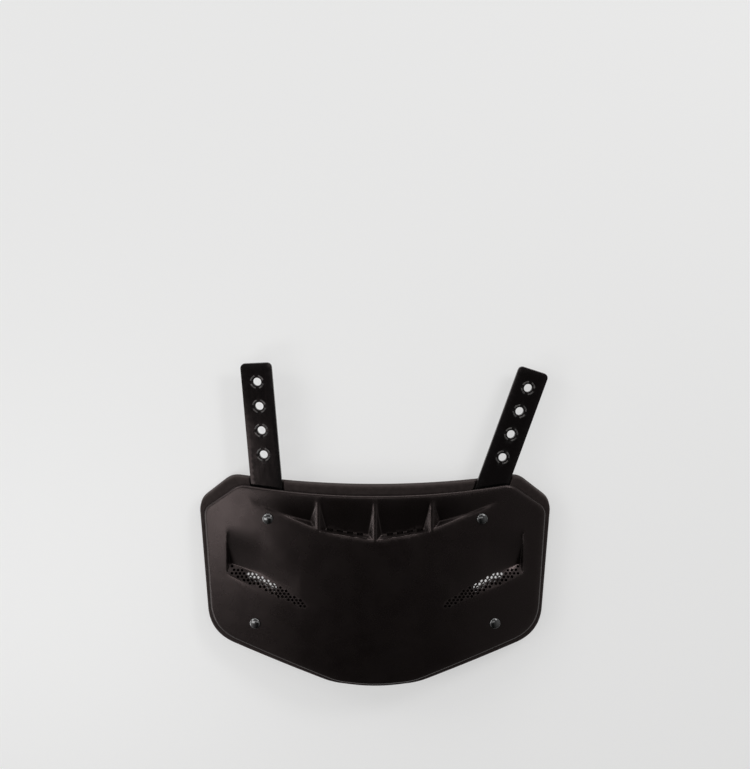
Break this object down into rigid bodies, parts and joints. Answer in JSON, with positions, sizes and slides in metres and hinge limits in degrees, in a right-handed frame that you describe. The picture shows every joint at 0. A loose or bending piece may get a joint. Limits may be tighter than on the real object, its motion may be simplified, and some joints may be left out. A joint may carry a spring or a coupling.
{
  "type": "football back plate",
  "caption": "Curved plastic lower-back guard with scooped vents on a foam backing pad, with two stiff drilled straps riveted behind its top edge to hang it from shoulder pads.",
  "frame": {"origin": "on the floor under the middle of the part's bounding box, with the part lying on its pad", "axes": "+X to the viewer's right of the face, +Y from the plate's point towards the straps, +Z out of the face, up from the floor"},
  "size_m": [0.2982, 0.281, 0.0355],
  "materials": {
    "shell": "satin black moulded plastic with a fine grain",
    "foam": "matte charcoal closed-cell foam",
    "strap": "glossy black plastic strip",
    "rivet": "dark domed metal"
  },
  "bodies": {
    "root": {"shell": "shell", "foam_pad": "foam", "strap_left": "strap", "strap_right": "strap", "rivet_upper_left": "rivet", "rivet_upper_right": "rivet", "rivet_lower_left": "rivet", "rivet_lower_right": "rivet"}
  },
  "joints": []
}
